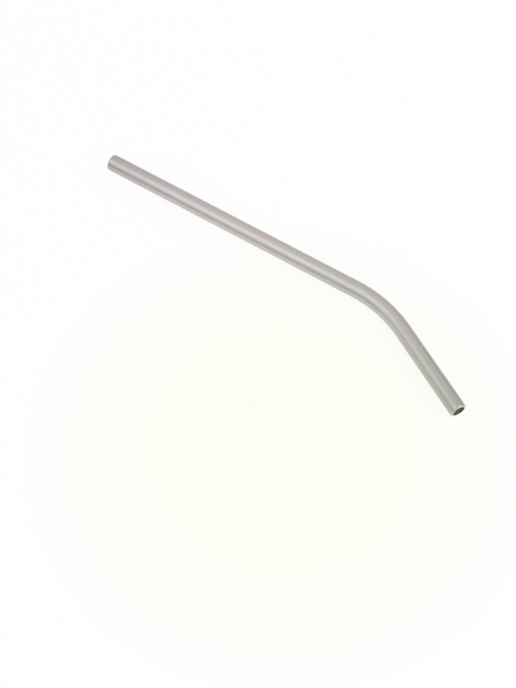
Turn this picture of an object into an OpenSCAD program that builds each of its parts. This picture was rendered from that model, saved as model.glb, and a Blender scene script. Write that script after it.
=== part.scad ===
// Bent drinking straw, drawn from one thin titanium tube.
// The tube has one gentle bend near the end that is drunk from, and both of its
// ends are rolled inwards, so that the lip is smooth and a little narrower than the bore.
// It lies on its side as on a table: the bend is flat, the long leg runs along X
// with its foot end towards -X, and the short mouth leg turns towards -Y.
// The origin is the middle of its bounding box, on the table. Sizes are in millimetres.

/* [Tube] */
// Outside diameter of the tube
tube_d = 8; // [6:0.5:12]
// Wall thickness of the tube
wall = 0.5; // [0.4:0.05:0.8]
// Length of the straw, along the middle of the tube
straw_len = 215; // [180:1:260]

/* [Bend] */
// Angle that the mouth leg turns away from the long leg
bend_angle = 29; // [15:1:45]
// Radius of the bend, to the middle of the tube
bend_r = 62; // [40:1:80]
// Straight length of the mouth leg, from the bend to its lip
mouth_run = 47.5; // [30:0.5:60]

/* [Lip] */
// Radius of the roll on the inside of the lip
roll_r = 0.3; // [0.2:0.05:0.6]
// Flat rim between the roll and the opening
lip_flat = 0.25; // [0.2:0.05:0.5]
// Rounding of the lip's own cut edge
lip_edge_r = 0.1; // [0.05:0.01:0.15]

/* [Hidden] */
$fn = 96;
titanium = "#b8b0ac";

tube_r = tube_d / 2;
bore_r = tube_r - wall;
// The roll keeps the thickness of the wall, so its outside is larger by one wall
lip_r = roll_r + wall;
roll_centre_r = tube_r - lip_r;

// What is left of the straw's length, past the bend and the mouth leg, is the long leg
bend_len = bend_r * bend_angle * PI / 180;
long_run = straw_len - bend_len - mouth_run;

// Each leg carries half of the bend and a little more, so that the two halves run through
// each other in the middle and join without a seam
bend_overlap = 1.5;
bend_share = bend_angle / 2 + bend_overlap;

// Middle of the bounding box, seen from the centre of the bend.
// The mouth's lip reaches furthest on the outer side of its roll.
mouth_x = bend_r * sin(bend_angle) + (mouth_run - lip_r) * cos(bend_angle);
mouth_y = bend_r * cos(bend_angle) - (mouth_run - lip_r) * sin(bend_angle);
x_high = mouth_x + roll_centre_r * sin(bend_angle) + lip_r;
y_low = mouth_y - roll_centre_r * cos(bend_angle) - lip_r;
x_mid = (x_high - long_run) / 2;
y_mid = (bend_r + tube_r + y_low) / 2;

// Quarter ring: the wall where it rolls in, with the roll's centre at the origin
module roll_section() {
    intersection() {
        difference() {
            circle(r = lip_r);
            circle(r = roll_r);
        }
        square(lip_r);
    }
}

// Flat rim from the roll to the opening, with its cut edge rounded off
module rim_section() {
    edge_x = lip_edge_r - lip_flat;
    translate([edge_x, roll_r]) square([-edge_x, wall]);
    translate([-lip_flat, roll_r + lip_edge_r]) square([lip_edge_r, wall - 2 * lip_edge_r]);
    for (y = [roll_r + lip_edge_r, lip_r - lip_edge_r])
        translate([edge_x, y]) circle(r = lip_edge_r);
}

// Straight leg along +Z from the origin, with the rolled lip at its far end
module leg(run) {
    rotate_extrude() {
        translate([bore_r, 0]) square([wall, run - lip_r]);
        translate([roll_centre_r, run - lip_r]) {
            roll_section();
            rim_section();
        }
    }
}

// Straight leg with its share of the bend. The bend's centre is the origin, and the leg
// runs from (0, bend_r) towards -X.
module arm(run) {
    translate([0, bend_r, 0]) rotate([0, -90, 0]) leg(run);
    rotate([0, 0, 90]) rotate_extrude(angle = -bend_share)
        translate([bend_r, 0]) difference() {
            circle(r = tube_r);
            circle(r = bore_r);
        }
}

module straw_tube() {
    color(titanium) translate([-x_mid, -y_mid, tube_r]) {
        arm(long_run);
        rotate([0, 0, -bend_angle]) mirror([1, 0, 0]) arm(mouth_run);
    }
}

straw_tube();
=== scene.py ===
# %% [markdown]
# A bent titanium straw.
# The real object is a single thin tube of titanium. It is bent once, gently, near the end
# that is drunk from, and both of its ends are rolled inwards to a smooth lip. Its outside
# is blasted to a soft satin grey. So there is one piece to model, and nearly all of its
# look comes from how that satin metal mirrors a white room in a blurred way.
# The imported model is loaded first. It fixes where everything is, in metres.

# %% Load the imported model
import math

import bmesh
import bpy
from mathutils import Matrix, Vector


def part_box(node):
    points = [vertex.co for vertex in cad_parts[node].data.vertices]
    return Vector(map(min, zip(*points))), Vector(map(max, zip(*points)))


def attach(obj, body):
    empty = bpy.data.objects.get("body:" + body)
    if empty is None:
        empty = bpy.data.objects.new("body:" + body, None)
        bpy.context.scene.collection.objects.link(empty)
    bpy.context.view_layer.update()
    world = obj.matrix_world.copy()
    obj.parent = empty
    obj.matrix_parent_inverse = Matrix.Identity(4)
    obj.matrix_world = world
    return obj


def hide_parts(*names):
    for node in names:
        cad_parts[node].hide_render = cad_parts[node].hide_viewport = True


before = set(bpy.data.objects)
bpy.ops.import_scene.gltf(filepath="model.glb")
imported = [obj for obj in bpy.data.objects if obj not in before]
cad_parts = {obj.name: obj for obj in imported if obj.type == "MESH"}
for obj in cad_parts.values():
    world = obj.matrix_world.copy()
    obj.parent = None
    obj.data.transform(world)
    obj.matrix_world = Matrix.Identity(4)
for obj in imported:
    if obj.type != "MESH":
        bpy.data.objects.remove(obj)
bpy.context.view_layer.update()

# %% [markdown]
# The camera comes next, so that every later step can be looked at through it.
# It could be placed by eye, but a straw is nearly all outline, and a small error shows
# at once. Its place was fitted to the straw's outline instead: how far it is turned
# about the straw, how steeply it looks down, and how far away it stands. The focal
# length is kept in pixels of the picture and turned into a lens for Blender's sensor,
# whose width lies along the picture's long side.

# %% Camera
IMAGE_SIZE = (516, 688)
FOCAL_PIXELS = 1755.6
TURN = math.radians(31.69)       # about the upright axis, 0 looks along +Y
LOOK_DOWN = math.radians(60.85)  # below the horizon
DISTANCE = 0.8049                # to the point of the table at the picture's middle
AIM = Vector((0.00755, -0.03170, 0))

camera_data = bpy.data.cameras.new("camera")
camera_data.lens = FOCAL_PIXELS * camera_data.sensor_width / max(IMAGE_SIZE)
camera = bpy.data.objects.new("camera", camera_data)
bpy.context.collection.objects.link(camera)
bpy.context.scene.camera = camera
back = Vector((math.sin(TURN), -math.cos(TURN), 0)) * math.cos(LOOK_DOWN)
back.z = math.sin(LOOK_DOWN)
camera.location = AIM + back * DISTANCE
camera.rotation_mode = "QUATERNION"
camera.rotation_quaternion = (-back).to_track_quat("-Z", "Y")
print("lens", round(camera_data.lens, 2), "mm, camera at", [round(v, 3) for v in camera.location])

# %% [markdown]
# The straw's own sizes, in millimetres, are few: the tube, the bend and the lip.
# Every other length follows from them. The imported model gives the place: its lowest X is
# the face of the foot end, and its highest Y is the outer side of the long leg.

# %% Sizes and places
MM = 0.001
TUBE_R = 4.0
WALL = 0.5
STRAW_LEN = 215.0
BEND_ANGLE = math.radians(29)
BEND_R = 62.0
MOUTH_RUN = 47.5
ROLL_R = 0.3       # inside of the rolled lip
LIP_FLAT = 0.25    # flat rim between the roll and the opening
LIP_EDGE_R = 0.1   # rounding of the rim's cut edge

BORE_R = TUBE_R - WALL
LIP_R = ROLL_R + WALL
ROLL_CENTRE_R = TUBE_R - LIP_R
OPENING_R = ROLL_CENTRE_R - LIP_FLAT
BEND_LEN = BEND_R * BEND_ANGLE
LONG_RUN = STRAW_LEN - BEND_LEN - MOUTH_RUN

low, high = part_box("straw_tube")
foot_face = Vector((low.x / MM, high.y / MM - TUBE_R, TUBE_R))
bend_start = foot_face + Vector((LONG_RUN, 0, 0))
bend_centre = bend_start - Vector((0, BEND_R, 0))
mouth_way = Vector((math.cos(BEND_ANGLE), -math.sin(BEND_ANGLE), 0))
mouth_side = Vector((math.sin(BEND_ANGLE), math.cos(BEND_ANGLE), 0))
bend_end = bend_centre + mouth_side * BEND_R
mouth_face = bend_end + mouth_way * MOUTH_RUN
print("long leg", round(LONG_RUN, 2), "mm, bend", round(BEND_LEN, 2), "mm along the tube")

# %% [markdown]
# The lip is what a finger or a tongue finds first, so it is modelled in full. On the real
# straw the wall is spun inwards until its cut edge faces the middle of the opening, and the
# edge is tumbled round. A bevel on a cut tube could only hint at that. Here one vertex
# walks round the wall's section, turning about the roll's centre where the metal curves,
# and the section is then spun once round the tube's axis.

# %% Lip section and lip
ROUND_STEPS = 96   # sides around the tube
ROLL_STEPS = 12
EDGE_STEPS = 4


def arc(bm, vert, centre, degrees, steps):
    """Turn a vertex about an upright axis, leaving an arc of edges; returns its last vertex."""
    turned = bmesh.ops.spin(bm, geom=[vert], cent=centre, axis=(0, 0, 1),
                            angle=math.radians(degrees), steps=steps)
    return next(g for g in turned["geom_last"] if isinstance(g, bmesh.types.BMVert))


def draw_to(bm, vert, place):
    """Draw one straight edge from a vertex; returns its far vertex."""
    drawn = bmesh.ops.extrude_vert_indiv(bm, verts=[vert])["verts"][0]
    drawn.co = place
    return drawn


def at(depth, radius):
    """Place in the foot end's section: depth behind its face, radius from the tube's axis."""
    return foot_face + Vector((depth, radius, 0))


bm = bmesh.new()
tip = bm.verts.new(at(LIP_R, TUBE_R))
tip = arc(bm, tip, at(LIP_R, ROLL_CENTRE_R), 90, ROLL_STEPS)
tip = draw_to(bm, tip, at(0, OPENING_R + LIP_EDGE_R))
tip = arc(bm, tip, at(LIP_EDGE_R, OPENING_R + LIP_EDGE_R), 90, EDGE_STEPS)
tip = draw_to(bm, tip, at(WALL - LIP_EDGE_R, OPENING_R))
tip = arc(bm, tip, at(WALL - LIP_EDGE_R, OPENING_R + LIP_EDGE_R), 90, EDGE_STEPS)
tip = draw_to(bm, tip, at(WALL, ROLL_CENTRE_R))
tip = arc(bm, tip, at(LIP_R, ROLL_CENTRE_R), -90, ROLL_STEPS)
print("section", len(bm.verts), "points, ends", round(tip.co.y - foot_face.y, 3), "mm from the axis")

bmesh.ops.spin(bm, geom=bm.verts[:] + bm.edges[:], cent=foot_face, axis=(1, 0, 0),
               angle=math.tau, steps=ROUND_STEPS, use_merge=True)
print("lip", len(bm.faces), "faces")

# %% [markdown]
# The mouth's lip is the same lip, turned to face the other way along its own leg.
# The two lips could be joined with one bridge, but a bridge would cut straight across the
# bend. The tube's open rims are walked from the foot instead, as the metal runs: straight
# along the long leg, round the centre of the bend, and straight along the mouth leg.
# The inner and the outer rim go together, so the wall keeps its thickness all the way.

# %% Legs and bend
FACET = 4.0        # length of a facet along a straight leg
HOLD = 0.4         # a short first facet keeps the lip's curve off the leg's shading
BEND_STEPS = 36
WELD = 0.001       # points closer than this become one

mouth_lip = bmesh.ops.duplicate(bm, geom=bm.verts[:] + bm.edges[:] + bm.faces[:])["geom"]
mouth_verts = [g for g in mouth_lip if isinstance(g, bmesh.types.BMVert)]
bmesh.ops.rotate(bm, verts=mouth_verts, cent=foot_face,
                 matrix=Matrix.Rotation(math.pi - BEND_ANGLE, 3, "Z"))
bmesh.ops.translate(bm, verts=mouth_verts, vec=mouth_face - foot_face)
mouth_set = set(mouth_verts)
rims = [e for e in bm.edges if e.is_boundary and e.verts[0] not in mouth_set]


def walk(bm, rims, way, run):
    """Extrude the open rims along a straight leg, short facets at both of its ends."""
    count = round((run - 2 * HOLD) / FACET)
    for length in [HOLD] + [(run - 2 * HOLD) / count] * count + [HOLD]:
        grown = bmesh.ops.extrude_edge_only(bm, edges=rims)["geom"]
        verts = [g for g in grown if isinstance(g, bmesh.types.BMVert)]
        rims = [g for g in grown if isinstance(g, bmesh.types.BMEdge) and g.is_boundary]
        bmesh.ops.translate(bm, verts=verts, vec=way * length)
    return rims


rims = walk(bm, rims, Vector((1, 0, 0)), LONG_RUN - LIP_R)
rim_verts = list({v for e in rims for v in e.verts})
turned = bmesh.ops.spin(bm, geom=rims + rim_verts, cent=bend_centre, axis=(0, 0, 1),
                        angle=-BEND_ANGLE, steps=BEND_STEPS)
rims = [g for g in turned["geom_last"] if isinstance(g, bmesh.types.BMEdge)]
walk(bm, rims, mouth_way, MOUTH_RUN - LIP_R)
before = len(bm.verts)
bmesh.ops.remove_doubles(bm, verts=bm.verts, dist=WELD)
bmesh.ops.recalc_face_normals(bm, faces=bm.faces)
print("welded", before - len(bm.verts), "points at the mouth;",
      sum(e.is_boundary for e in bm.edges), "open edges left;", len(bm.faces), "faces")

# %% [markdown]
# The finish runs along the tube, so its pattern has to follow the bend. Object coordinates
# would cut straight through it. Each point therefore stores where it would lie if the tube
# were straight: its distance from the foot, and its place across the tube. The materials
# read that as the attribute "unbent", in millimetres, and the pattern has no seam.
# The same numbers tell the outside, the lip and the bore apart.

# %% Unbent coordinates and the three finishes
OUTSIDE, LIP, BORE = range(3)
RIM_REACH = 0.50   # how far the bright rim reaches up the roll, from the roll's centre


def unbend(p):
    """Distance along the tube from the foot, and place across it, outwards and up."""
    arm = p - bend_centre
    angle = math.atan2(arm.x, arm.y)
    if p.x <= bend_start.x:
        return Vector((p.x - foot_face.x, p.y - foot_face.y, p.z - TUBE_R))
    if angle <= BEND_ANGLE:
        return Vector((LONG_RUN + BEND_R * angle, arm.xy.length - BEND_R, p.z - TUBE_R))
    along = LONG_RUN + BEND_LEN + (p - bend_end).dot(mouth_way)
    return Vector((along, (p - bend_end).dot(mouth_side), p.z - TUBE_R))


unbent = bm.verts.layers.float_vector.new("unbent")
for vert in bm.verts:
    vert[unbent] = unbend(vert.co)
for face in bm.faces:
    along, out, up = sum((v[unbent] for v in face.verts), Vector()) / len(face.verts)
    depth, radius = min(along, STRAW_LEN - along), math.hypot(out, up)
    on_rim = depth < WALL and radius < ROLL_CENTRE_R + RIM_REACH
    in_bore = radius < (TUBE_R + BORE_R) / 2 and depth > WALL
    face.material_index = LIP if on_rim else BORE if in_bore else OUTSIDE
    face.smooth = True
print("rim", sum(f.material_index == LIP for f in bm.faces), "faces, bore",
      sum(f.material_index == BORE for f in bm.faces), "faces")

# %% [markdown]
# The mesh is finished, so it goes from millimetres to metres and becomes an object. The
# object could carry the scale and the place, but it stays at the origin, unturned and
# unscaled, so that no pattern can slide on the metal. It takes the place of the packed
# model's tube. It rides on the root, because nothing on a straw moves.

# %% The straw


def add_object(name, bm):
    """Turn a finished bmesh into an object at the origin; returns the object."""
    mesh = bpy.data.meshes.new(name)
    bm.to_mesh(mesh)
    bm.free()
    made = bpy.data.objects.new(name, mesh)
    bpy.context.collection.objects.link(made)
    return made


bmesh.ops.scale(bm, vec=(MM, MM, MM), verts=bm.verts)
straw = add_object("titanium_straw", bm)
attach(straw, "root")
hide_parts("straw_tube")
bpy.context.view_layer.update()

# %% [markdown]
# Two helpers serve every material. One turns a colour as a designer writes it, a hex
# number in sRGB, into the linear values that Blender's shaders work in. The other adds a
# node with its settings, and fills or links its inputs.

# %% Colour and node helpers


def linear(hex_colour, alpha=1.0):
    """Linear RGBA of an sRGB hex colour."""
    parts = [int(hex_colour[i:i + 2], 16) / 255 for i in (1, 3, 5)]
    return (*(c / 12.92 if c <= 0.04045 else ((c + 0.055) / 1.055) ** 2.4 for c in parts), alpha)


def add_node(tree, kind, inputs=None, **settings):
    """A new node with its settings; each input, by name or number, gets a value or a link."""
    node = tree.nodes.new(kind)
    for name, value in settings.items():
        setattr(node, name, value)
    for name, value in (inputs or {}).items():
        if isinstance(value, bpy.types.NodeSocket):
            tree.links.new(value, node.inputs[name])
        else:
            node.inputs[name].default_value = value
    return node


def new_material(name):
    """A material with an empty node tree; returns both."""
    material = bpy.data.materials.new(name)
    material.use_nodes = True
    material.node_tree.nodes.clear()
    return material, material.node_tree


print("titanium grey is", [round(c, 3) for c in linear("#c2bbb3")[:3]], "in linear light")

# %% [markdown]
# The outside is commercially pure titanium, blasted with fine beads after it was bent.
# To the eye that is a warm grey metal with no sharp reflections: soft bands of light run along the tube,
# and close up it is very slightly grainy. Titanium also keeps a breath of colour from its own thin oxide,
# in cloudy patches between violet and olive. Along the tube the colour runs from violet-grey at the foot
# to olive-grey at the mouth, and is darker towards both ends. The olive near the mouth is partly the oxide
# and partly a painted reflection of the yellowish table. Across the tube the patches are painted more
# olive on the near side, as a reflection of that table, and more violet on the far side.
# One flat grey would look like paint. The colour is built first, as a ramp along the tube
# with a noise of patches mixed into it.

# %% Bead-blasted titanium: colour
CLOUD_MM = 9.0         # width of an oxide patch
CLOUD_STRETCH = 2.5    # the patches are longer along the tube, as it was drawn
CLOUD_SHARE = 0.30     # how much of the colour the patches make
# Painted reflection: the near side's olive stands for the yellowish table it mirrors, and the far side is
# painted more violet
REFLECTION_LEAN = 0.025     # how much more violet the patches are for each mm towards the far side
# The oxide's tint with painted reflection, by share of the way from the foot to the mouth: darker towards
# both ends, and the olive near the mouth partly a painted reflection of the yellowish table
OXIDE_AND_REFLECTION = ((0.0, "#bbb1b3"), (0.18, "#c9c1c3"), (0.34, "#cdc4c2"), (0.50, "#c8c6bc"),
         (0.70, "#bfbfb9"), (0.86, "#b9b8b1"), (1.0, "#adada2"))
# The patches' colour by the value of their noise, from violet to olive
PATCHES = ((0.35, "#d6c8d1"), (0.65, "#caccc0"))


def fill_ramp(elements, stops):
    """Give a colour ramp its stops: it has a first and a last, and the others are added."""
    for element, (stop, tone) in zip((elements[0], elements[-1]), (stops[0], stops[-1])):
        element.position = stop
        element.color = linear(tone)
    for stop, tone in stops[1:-1]:
        elements.new(stop).color = linear(tone)


blasted, tree = new_material("bead_blasted_titanium")
place = add_node(tree, "ShaderNodeAttribute", attribute_name="unbent").outputs["Vector"]
across = add_node(tree, "ShaderNodeSeparateXYZ", {"Vector": place}).outputs
along = across["X"]
share = add_node(tree, "ShaderNodeMapRange", {"Value": along, "From Max": STRAW_LEN})
# The ramp along the tube: oxide tint, with a painted reflection of the yellowish table near the mouth,
# darker towards both ends
drift = add_node(tree, "ShaderNodeValToRGB", {"Fac": share.outputs["Result"]})
fill_ramp(drift.color_ramp.elements, OXIDE_AND_REFLECTION)
drawn_out = add_node(tree, "ShaderNodeMapping",
                     {"Vector": place, "Scale": (1 / CLOUD_STRETCH, 1, 1)}).outputs["Vector"]
cloud = add_node(tree, "ShaderNodeTexNoise",
                 {"Vector": drawn_out, "Scale": 1 / CLOUD_MM, "Detail": 2.0, "Roughness": 0.5})
# Painted reflection: the patches lean olive on the near side and violet on the far side
reflection_leant = add_node(tree, "ShaderNodeMath", {0: across["Y"], 1: -REFLECTION_LEAN, 2: cloud.outputs["Fac"]},
                 operation="MULTIPLY_ADD")
tint = add_node(tree, "ShaderNodeValToRGB", {"Fac": reflection_leant.outputs["Value"]})
fill_ramp(tint.color_ramp.elements, PATCHES)
colour = add_node(tree, "ShaderNodeMix", {"Factor": CLOUD_SHARE, 6: drift.outputs["Color"],
                                          7: tint.outputs["Color"]}, data_type="RGBA")
print(blasted.name, "colour has", len(tree.nodes), "nodes")

# %% [markdown]
# The finish is in the roughness and the relief. The beads' real dimples are under a tenth
# of a millimetre, too fine to show, so the grain is drawn half a millimetre wide. Under
# it are the faint lines of the drawing die, which run along the tube and are also drawn
# wider than they are. Next to each lip the rolling tool has rubbed the metal smoother, so
# the roughness falls off there, and the shoulder mirrors the room more sharply.

# %% Bead-blasted titanium: roughness and relief
GRAIN_MM = 0.5
GRAIN_DEPTH = 0.0015 * MM
LINE_MM = 0.5
LINE_STRETCH = 60
BLASTED = 0.37         # roughness of the blasted metal
BLASTED_SPREAD = 0.04  # and how far it varies up and down
ROLLED = 0.22          # roughness of the lip, under the rolling tool
RUBBED_MM = 2.0        # how far the tool has rubbed the grain behind the lip
NOISE_LOW, NOISE_HIGH = 0.3, 0.7   # nearly all of a noise lies between these


def show_metal(tree, colour, roughness, relief):
    """Make the surface a metal of this colour, roughness and relief."""
    metal = add_node(tree, "ShaderNodeBsdfPrincipled",
                     {"Base Color": colour, "Metallic": 1.0, "Roughness": roughness, "Normal": relief})
    add_node(tree, "ShaderNodeOutputMaterial", {"Surface": metal.outputs["BSDF"]})


grain = add_node(tree, "ShaderNodeTexNoise",
                 {"Vector": place, "Scale": 1 / GRAIN_MM, "Detail": 2.0}).outputs["Fac"]
die_way = add_node(tree, "ShaderNodeMapping",
                   {"Vector": place, "Scale": (1 / LINE_STRETCH, 1, 1)}).outputs["Vector"]
lines = add_node(tree, "ShaderNodeTexNoise",
                 {"Vector": die_way, "Scale": 1 / LINE_MM, "Detail": 1.0}).outputs["Fac"]
uneven = add_node(tree, "ShaderNodeMath", {0: grain, 1: lines}, operation="ADD").outputs["Value"]
# The sum of two noises reaches twice as far as one
rough = add_node(tree, "ShaderNodeMapRange",
                 {"Value": uneven, "From Min": 2 * NOISE_LOW, "From Max": 2 * NOISE_HIGH,
                  "To Min": BLASTED - BLASTED_SPREAD, "To Max": BLASTED + BLASTED_SPREAD})
middle = add_node(tree, "ShaderNodeMath", {0: along, 1: STRAW_LEN / 2}, operation="SUBTRACT")
from_middle = add_node(tree, "ShaderNodeMath", {0: middle.outputs["Value"]}, operation="ABSOLUTE")
rubbed = add_node(tree, "ShaderNodeMapRange",
                  {"Value": from_middle.outputs["Value"],
                   "From Min": STRAW_LEN / 2 - LIP_R - RUBBED_MM, "From Max": STRAW_LEN / 2 - LIP_R},
                  interpolation_type="SMOOTHSTEP")
roughness = add_node(tree, "ShaderNodeMix", {0: rubbed.outputs["Result"], 2: rough.outputs["Result"],
                                             3: ROLLED})
relief = add_node(tree, "ShaderNodeBump", {"Strength": 1.0, "Distance": GRAIN_DEPTH, "Height": uneven})
show_metal(tree, colour.outputs[2], roughness.outputs[0], relief.outputs["Normal"])
print(blasted.name, "has", len(tree.nodes), "nodes in all")

# %% [markdown]
# The lip was pressed round by a steel roller and then tumbled, which leaves the same
# titanium smoother and a little brighter than the blasted side. What the eye gets is a
# thin bright ring round the dark opening. Only the rim itself has this finish, because a
# bright shoulder would make the ring look twice as thick. The roller's own lines run round
# the lip, so its relief comes from the distance along the tube alone, as rings. The bore
# has fine lines too, so one function makes both metals, and the lines' way is a setting.

# %% Rolled titanium of the lip
RING_MM = 0.25
RING_STRETCH = 20
RING_DEPTH = GRAIN_DEPTH / 2
ROLLED_SPREAD = 0.03


def lined_titanium(name, line_way, line_mm, detail, roughness, spread, tones, depth):
    """Titanium whose colour, roughness and relief follow fine lines; returns the material."""
    material, tree = new_material(name)
    place = add_node(tree, "ShaderNodeAttribute", attribute_name="unbent").outputs["Vector"]
    drawn_out = add_node(tree, "ShaderNodeMapping", {"Vector": place, "Scale": line_way}).outputs["Vector"]
    lines = add_node(tree, "ShaderNodeTexNoise",
                     {"Vector": drawn_out, "Scale": 1 / line_mm, "Detail": detail}).outputs["Fac"]
    rough = add_node(tree, "ShaderNodeMapRange",
                     {"Value": lines, "From Min": NOISE_LOW, "From Max": NOISE_HIGH,
                      "To Min": roughness - spread, "To Max": roughness + spread})
    tone = add_node(tree, "ShaderNodeMix",
                    {"Factor": lines, 6: linear(tones[0]), 7: linear(tones[1])}, data_type="RGBA")
    relief = add_node(tree, "ShaderNodeBump", {"Strength": 1.0, "Distance": depth, "Height": lines})
    show_metal(tree, tone.outputs[2], rough.outputs["Result"], relief.outputs["Normal"])
    print(name, "has", len(tree.nodes), "nodes")
    return material


rolled = lined_titanium("rolled_titanium_lip", line_way=(1, 1 / RING_STRETCH, 1 / RING_STRETCH),
                        line_mm=RING_MM, detail=1.0, roughness=ROLLED, spread=ROLLED_SPREAD,
                        tones=("#d6d2ca", "#dedad2"), depth=RING_DEPTH)

# %% [markdown]
# Nothing polishes or blasts the bore. It is as the drawing die and the annealing furnace
# left it: dull, with a thicker and darker oxide, and fine lines along the tube. That is
# why the opening looks nearly black, with only a dim streak of light down its middle.

# %% Drawn titanium of the bore
DRAWN = 0.62
DRAWN_SPREAD = 0.07
DRAWN_DEPTH = GRAIN_DEPTH * 2

drawn = lined_titanium("drawn_titanium_bore", line_way=(1 / LINE_STRETCH, 1, 1),
                       line_mm=LINE_MM, detail=2.0, roughness=DRAWN, spread=DRAWN_SPREAD,
                       tones=("#bfbeaf", "#c8c6b8"), depth=DRAWN_DEPTH)
for finish in (blasted, rolled, drawn):
    straw.data.materials.append(finish)
print("the straw has", len(straw.data.materials), "finishes")

# %% [markdown]
# The straw lies on a plain white table top. That is one large square, so that a low view
# doesn't look past its edge.

# %% Floor
FLOOR_SIZE = 60.0

bm = bmesh.new()
bmesh.ops.create_grid(bm, x_segments=1, y_segments=1, size=FLOOR_SIZE / 2)
floor = add_object("floor", bm)
print("floor", FLOOR_SIZE, "m wide")

# %% [markdown]
# A lit white floor renders a little grey, and more lamps would burn the metal out with it.
# The floor is given its white as light of its own instead, for rays that come from the camera or from a
# reflection, and a small part of plain diffuse white is kept in it, so that the straw's faint shadow still
# falls on it. A faint pool of yellow light is painted on the table below the straw, as a colour by
# distance from one spot. Mirrored in full, that painted light would turn the metal's near side olive, so a
# reflection sees half of it.

# %% White of the floor
SHADOW_KEPT = 0.08     # share of the floor's look that lamps and shadows make
# Painted light: a faint pool of yellow light on the floor, centred on this spot
PAINTED_LIGHT_SPOT = Vector((0.045, -0.070, 0))
WARM_FROM, WARM_TO = 0.03, 0.13   # metres from the spot at which the yellow starts to fade, and ends
WARM_MIRRORED = 0.5    # share of the yellow that the metal mirrors

white, tree = new_material("white_table_laminate")
ray = add_node(tree, "ShaderNodeLightPath").outputs
mirrored = add_node(tree, "ShaderNodeMath", {0: ray["Is Glossy Ray"], 1: ray["Is Transmission Ray"]},
                    operation="ADD")
seen = add_node(tree, "ShaderNodeMath", {0: ray["Is Camera Ray"], 1: mirrored.outputs["Value"]},
                operation="ADD", use_clamp=True)
lit = add_node(tree, "ShaderNodeBsdfDiffuse", {"Color": linear("#f2f2ee")})
# The painted pool of yellow light, fading with distance from its spot
spot = add_node(tree, "ShaderNodeTexCoord").outputs["Object"]
away = add_node(tree, "ShaderNodeVectorMath", {0: spot, 1: PAINTED_LIGHT_SPOT}, operation="DISTANCE")
painted_yellow_light = add_node(tree, "ShaderNodeMapRange", {"Value": away.outputs["Value"], "From Min": WARM_FROM,
                                               "From Max": WARM_TO, "To Min": 1.0, "To Max": 0.0},
                  interpolation_type="SMOOTHSTEP")
held = add_node(tree, "ShaderNodeMath", {0: ray["Is Glossy Ray"], 1: WARM_MIRRORED - 1, 2: 1.0},
                operation="MULTIPLY_ADD")
yellow = add_node(tree, "ShaderNodeMath", {0: painted_yellow_light.outputs["Result"], 1: held.outputs["Value"]},
                  operation="MULTIPLY")
shade = add_node(tree, "ShaderNodeMix", {"Factor": yellow.outputs["Value"], 6: linear("#ffffff"),
                                         7: linear("#fbfff3")}, data_type="RGBA")
glow = add_node(tree, "ShaderNodeEmission", {"Color": shade.outputs[2], "Strength": 1.0})
soft = add_node(tree, "ShaderNodeMixShader", {"Fac": SHADOW_KEPT, 1: glow.outputs["Emission"],
                                              2: lit.outputs["BSDF"]})
either = add_node(tree, "ShaderNodeMixShader", {"Fac": seen.outputs["Value"], 1: lit.outputs["BSDF"],
                                                2: soft.outputs["Shader"]})
add_node(tree, "ShaderNodeOutputMaterial", {"Surface": either.outputs["Shader"]})
floor.data.materials.append(white)
print(white.name, "keeps", SHADOW_KEPT, "of its shadows")

# %% [markdown]
# A metal shows its surroundings, so the room matters more than the lamps. It is a white
# photo studio, a little brighter overhead than at the walls, with a window high up on the
# left. A picture of a room could be wrapped round the scene, but a blurred metal shows
# none of its detail. The world is coloured by direction instead, with a few numbers.

# %% Room
OVERHEAD = 0.82
WALLS = 0.745
WINDOW = 0.065         # how much brighter the wall is on the window's side
WINDOW_WAY = Vector((-0.75, -0.10, 0.65))
WINDOW_EDGE = 0.5      # its light ends where a way and the window's have this dot product

room = bpy.data.worlds.new("white_studio")
bpy.context.scene.world = room
room.use_nodes = True
tree = room.node_tree
tree.nodes.clear()
way = add_node(tree, "ShaderNodeTexCoord").outputs["Generated"]
height = add_node(tree, "ShaderNodeSeparateXYZ", {"Vector": way}).outputs["Z"]
wall = add_node(tree, "ShaderNodeMapRange", {"Value": height, "To Min": WALLS, "To Max": OVERHEAD})
lookout = add_node(tree, "ShaderNodeVectorMath", {0: way, 1: WINDOW_WAY}, operation="DOT_PRODUCT")
window = add_node(tree, "ShaderNodeMapRange",
                  {"Value": lookout.outputs["Value"], "From Min": WINDOW_EDGE, "From Max": 1.0,
                   "To Max": WINDOW}, interpolation_type="SMOOTHSTEP")
level = add_node(tree, "ShaderNodeMath", {0: wall.outputs["Result"], 1: window.outputs["Result"]},
                 operation="ADD")
glow = add_node(tree, "ShaderNodeBackground", {"Color": linear("#ffffff"),
                                               "Strength": level.outputs["Value"]})
add_node(tree, "ShaderNodeOutputWorld", {"Surface": glow.outputs["Background"]})
print("room from", WALLS, "to", OVERHEAD, "of white, and", WINDOW, "more at the window")

# %% [markdown]
# Metal in an evenly white room looks flat, because its edges mirror nothing darker. A
# photographer stands flags round it: long low cards that the metal mirrors and the lens
# never sees. Each shows as one soft dark line or edge of the tube. The room stays open
# towards +X, which the mouth's lip mirrors, so that the lip is bright. Dark patches
# painted on the world would do the same, but a low view would see them as a grey band
# behind the straw. Here each flag is one upright edge, spun round the straw, and only
# mirror rays see it, so it is in no picture and darkens no floor.

# %% Flags
FLAG_AWAY = 1.6
FLAG_STEPS = 24
# Each flag: degrees about the straw, from and to, and height in metres
FLAGS = ((-128, -15, 0.24),   # the dark line along the near side of the tube
         (50, 92, 0.24),      # the far edge of the mouth leg
         (92, 130, 0.10),     # the far edge of the long leg, where the real room is paler
         (130, 190, 0.60))    # the line round the foot end

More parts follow.
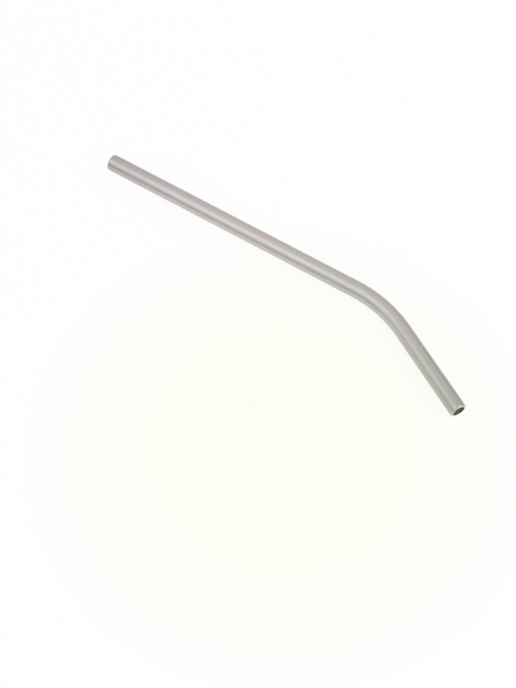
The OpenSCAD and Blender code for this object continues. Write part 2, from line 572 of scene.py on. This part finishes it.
bm = bmesh.new()
for start, end, tall in FLAGS:
    foot_of_card = Matrix.Rotation(math.radians(start), 3, "Z") @ Vector((FLAG_AWAY, 0, 0))
    low_end = bm.verts.new(foot_of_card)
    high_end = bm.verts.new(foot_of_card + Vector((0, 0, tall)))
    upright = bm.edges.new((low_end, high_end))
    bmesh.ops.spin(bm, geom=[upright, low_end, high_end], cent=(0, 0, 0), axis=(0, 0, 1),
                   angle=math.radians(end - start), steps=FLAG_STEPS)
flags = add_object("felt_flags", bm)
flags.visible_camera = False
flags.visible_diffuse = False
flags.visible_shadow = False

felt, tree = new_material("charcoal_felt")
dull = add_node(tree, "ShaderNodeBsdfDiffuse", {"Color": linear("#606060")})
add_node(tree, "ShaderNodeOutputMaterial", {"Surface": dull.outputs["BSDF"]})
flags.data.materials.append(felt)
print("flags", len(flags.data.polygons), "faces")

# %% [markdown]
# Two softboxes light the straw. The key one hangs high up, to the left of the camera, and
# its reflection is the pale band along the top of the tube. It is wide, so the band has
# soft edges and nothing has a hard shadow. The side one stands beyond the mouth. The
# straight legs don't mirror it, and the lip's rounded shoulder does, as one small bright
# patch that shows the roll.

# %% Softboxes
SOFTBOX_AWAY = 1.5
# Each softbox: name, way from the straw, side in metres, power in watts
SOFTBOXES = (("key_softbox", (-0.30, -0.46, 0.84), 1.1, 1.8),
             ("side_softbox", (0.62, 0.20, 0.76), 1.3, 6.0))

for name, way, size, power in SOFTBOXES:
    lamp = bpy.data.lights.new(name, "AREA")
    lamp.shape = "SQUARE"
    lamp.size = size
    lamp.energy = power
    softbox = bpy.data.objects.new(name, lamp)
    softbox.location = Vector(way).normalized() * SOFTBOX_AWAY
    softbox.rotation_mode = "QUATERNION"
    softbox.rotation_quaternion = Vector(way).to_track_quat("Z", "Y")
    bpy.context.collection.objects.link(softbox)
    print(name, "radiance", round(power / (math.pi * size ** 2), 2))

# %% [markdown]
# Last, colours are shown as they are written, without a film look.

# %% View
bpy.context.scene.view_settings.view_transform = "Standard"
